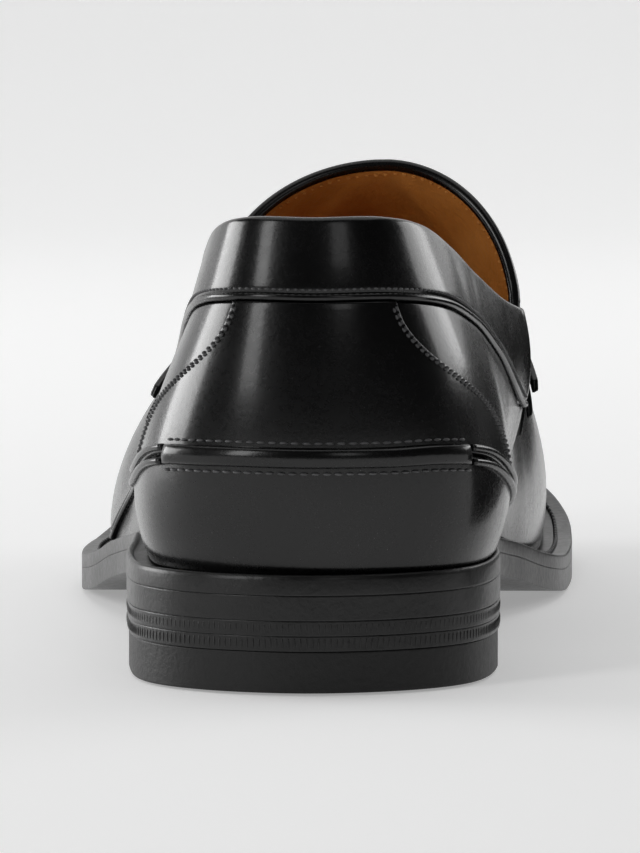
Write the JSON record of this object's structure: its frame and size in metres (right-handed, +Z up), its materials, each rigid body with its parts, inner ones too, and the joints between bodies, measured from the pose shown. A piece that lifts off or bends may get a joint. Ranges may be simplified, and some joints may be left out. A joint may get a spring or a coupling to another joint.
{
  "type": "bit loafer",
  "caption": "Left bit loafer of polished leather with a high instep, saddle strap with rings and bar, welted leather sole with toe spring, and a stacked heel",
  "frame": {"origin": "centre of the bounding box's floor side, under the shoe", "axes": "Y runs from the heel to the toe, X to the medial side of this left shoe, Z up; the shoe stands on z = 0"},
  "size_m": [0.1088, 0.3074, 0.0961],
  "materials": {
    "upper_leather": "polished smooth black leather",
    "sole_leather": "dyed and waxed edge, black",
    "heel_rubber": "satin black",
    "lining_leather": "matt tan leather",
    "bit_metal": "polished gold tone"
  },
  "bodies": {
    "root": {"outsole": "sole_leather", "welt": "sole_leather", "top_lift": "heel_rubber", "heel_lift_lower": "sole_leather", "heel_lift_upper": "sole_leather", "insole": "lining_leather", "upper": "upper_leather", "collar_band": "upper_leather", "collar_bead": "upper_leather", "heel_counter": "upper_leather", "quarter_lateral": "upper_leather", "quarter_medial": "upper_leather", "heel_foxing": "upper_leather", "heel_roll": "upper_leather", "seam_cord_lateral_upper": "upper_leather", "seam_cord_lateral_lower": "upper_leather", "seam_cord_medial_upper": "upper_leather", "seam_cord_medial_lower": "upper_leather", "apron": "upper_leather", "apron_seam": "upper_leather", "saddle_strap": "upper_leather", "tab_lateral": "upper_leather", "keeper_lateral": "upper_leather", "tab_medial": "upper_leather", "keeper_medial": "upper_leather", "bit_ring_lateral": "bit_metal", "bit_ring_medial": "bit_metal", "bit_bar": "bit_metal"}
  },
  "joints": []
}
